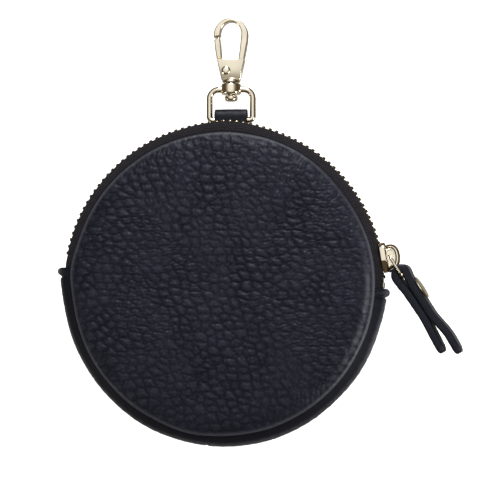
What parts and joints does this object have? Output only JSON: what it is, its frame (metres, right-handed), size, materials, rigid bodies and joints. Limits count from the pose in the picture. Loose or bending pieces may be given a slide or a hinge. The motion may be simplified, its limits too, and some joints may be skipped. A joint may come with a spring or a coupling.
{
  "type": "coin purse",
  "caption": "Round zip-round leather coin purse with a leather gusset, a swivel trigger clip on a leather loop and a folded leather zip pull.",
  "frame": {"origin": "the middle of the back panel's flat face, which the purse lies on, on the purse's own axis", "axes": "+Z comes out of the front panel; +Y points from the purse's middle to the hanging clip; +X points to the zip's closed end, where the pull is"},
  "size_m": [0.1245, 0.1339, 0.022],
  "materials": {
    "leather": "dark navy pebbled leather",
    "gold": "polished pale gold plating",
    "teeth": "brushed pale gold zip metal",
    "tape": "navy woven zip tape",
    "lining": "dark plain-weave lining",
    "foam": "thin foam padding",
    "spring_steel": "plain spring wire"
  },
  "bodies": {
    "back_shell": {"back_panel": "leather", "back_padding": "foam", "back_lining": "lining", "gusset": "leather", "gusset_lining": "lining", "zip_tape_back": "tape", "zip_teeth_back": "teeth", "zip_top_stop_back": "teeth", "zip_bottom_stop": "teeth", "hanging_loop": "leather"},
    "front_shell": {"front_panel": "leather", "front_padding": "foam", "front_lining": "lining", "zip_tape_front": "tape", "zip_teeth_front": "teeth", "zip_top_stop_front": "teeth"},
    "slider": {"slider_body": "gold", "slider_bridge": "gold"},
    "link": {"pull_link": "gold"},
    "tab": {"pull_tab": "leather", "tab_stud": "gold", "tab_stud_back": "gold"},
    "clip_frame": {"swivel_frame": "gold"},
    "hook": {"hook_body": "gold", "swivel_pin": "gold", "gate_rivet": "gold", "gate_spring": "spring_steel"},
    "gate": {"hook_gate": "gold"}
  },
  "joints": [
    {"name": "zip_run", "type": "hinge", "parent": "back_shell", "child": "slider", "pos_m": [0, 0, 0.011], "axis": [0, 0, 1], "range_deg": [0, 159]},
    {"name": "mouth_open", "type": "hinge", "parent": "back_shell", "child": "front_shell", "pos_m": [0, -0.0466, 0.0177], "axis": [1, 0, 0], "range_deg": [0, 10], "deforming": ["zip_tape_front", "zip_teeth_front"]},
    {"name": "link_swing", "type": "hinge", "parent": "slider", "child": "link", "pos_m": [0.0512, 0.008, 0.011], "axis": [0, 0, 1], "range_deg": [0, 85]},
    {"name": "tab_swing", "type": "hinge", "parent": "link", "child": "tab", "pos_m": [0.0552, 0.0017, 0.011], "axis": [0, 0, 1], "range_deg": [-30, 3]},
    {"name": "clip_fold", "type": "hinge", "parent": "back_shell", "child": "clip_frame", "pos_m": [0.0015, 0.0517, 0.0032], "axis": [1, 0, 0], "range_deg": [-75, 75]},
    {"name": "hook_swivel", "type": "hinge", "parent": "clip_frame", "child": "hook", "pos_m": [0.0015, 0.0615, 0.0032], "axis": [0, 1, 0], "continuous": true},
    {"name": "gate_open", "type": "hinge", "parent": "hook", "child": "gate", "pos_m": [0, 0.0672, 0.0032], "axis": [0, 0, -1], "range_deg": [0, 24], "stiffness_Nm_per_rad": 0.01}
  ],
  "couplings": [
    {"joint": "mouth_open", "follows": "zip_run", "ratio": 0.0628}
  ]
}
